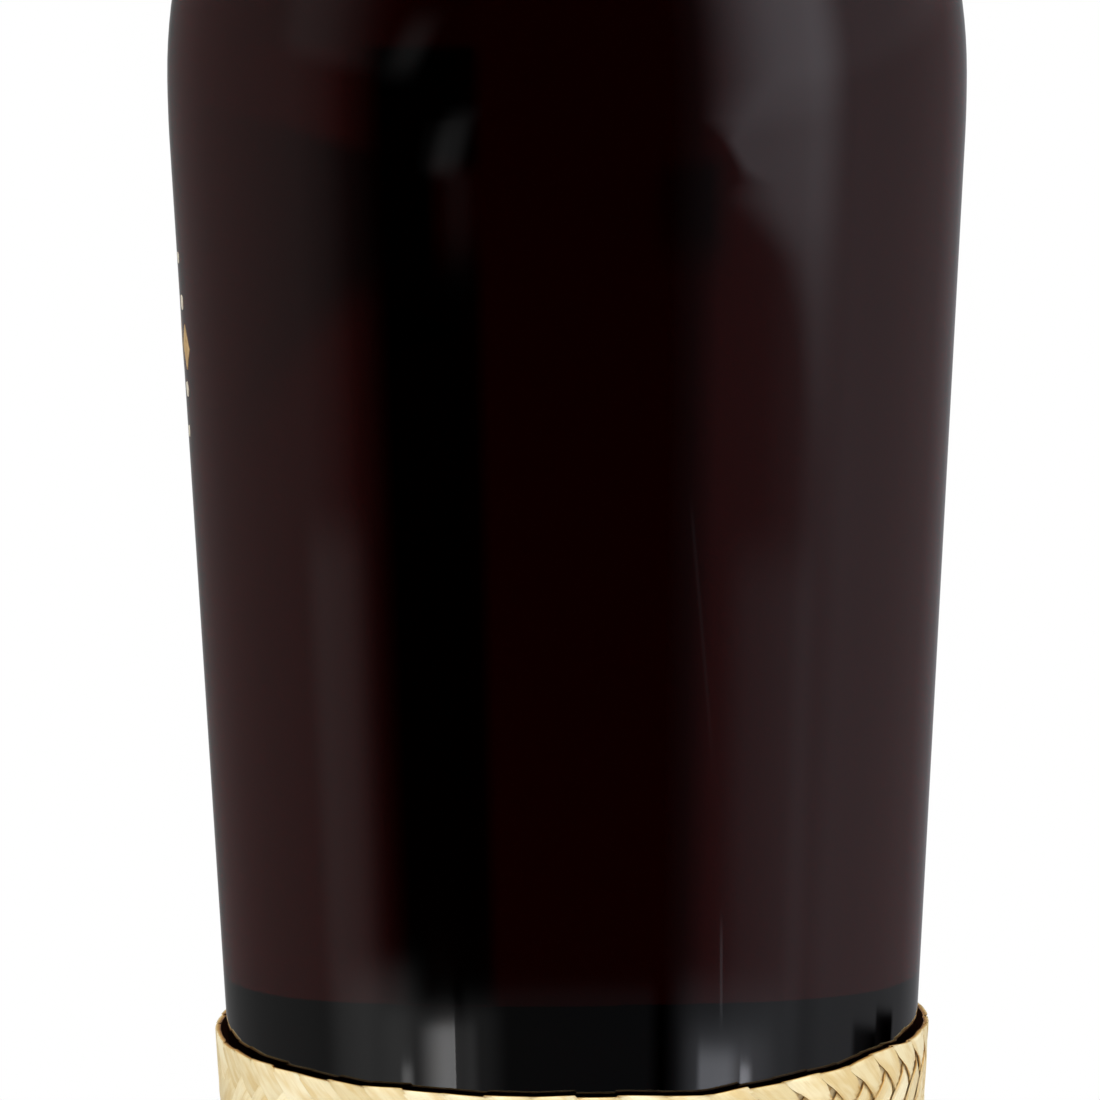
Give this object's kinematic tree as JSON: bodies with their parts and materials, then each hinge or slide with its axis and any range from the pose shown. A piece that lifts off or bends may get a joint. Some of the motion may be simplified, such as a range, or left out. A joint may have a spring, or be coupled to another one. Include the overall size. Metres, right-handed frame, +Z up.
{
  "type": "rum bottle",
  "caption": "Tapered round bottle of dark red-brown glass, filled and shut, with a plaited palm-leaf band round its lower half and a cork stopper with a turned wooden head.",
  "frame": {"origin": "centre of the foot, on the surface that the bottle stands on", "axes": "+Z up along the bottle's axis; the front, with the printed ornament, faces -Y"},
  "size_m": [0.084, 0.084, 0.2831],
  "materials": {
    "dark_glass": "glossy dark red-brown glass, filled, nearly opaque",
    "palm_leaf": "dry pale straw-coloured palm leaf, plaited, faint sheen",
    "cork": "matt cork",
    "turned_wood": "dark stained wood, satin",
    "gilt_print": "thin dull gold ink of the printed ornament, with a few cream strokes"
  },
  "bodies": {
    "root": {"bottle_glass": "dark_glass", "palm_band": "palm_leaf", "stopper_cork": "cork", "stopper_head": "turned_wood"}
  },
  "joints": []
}
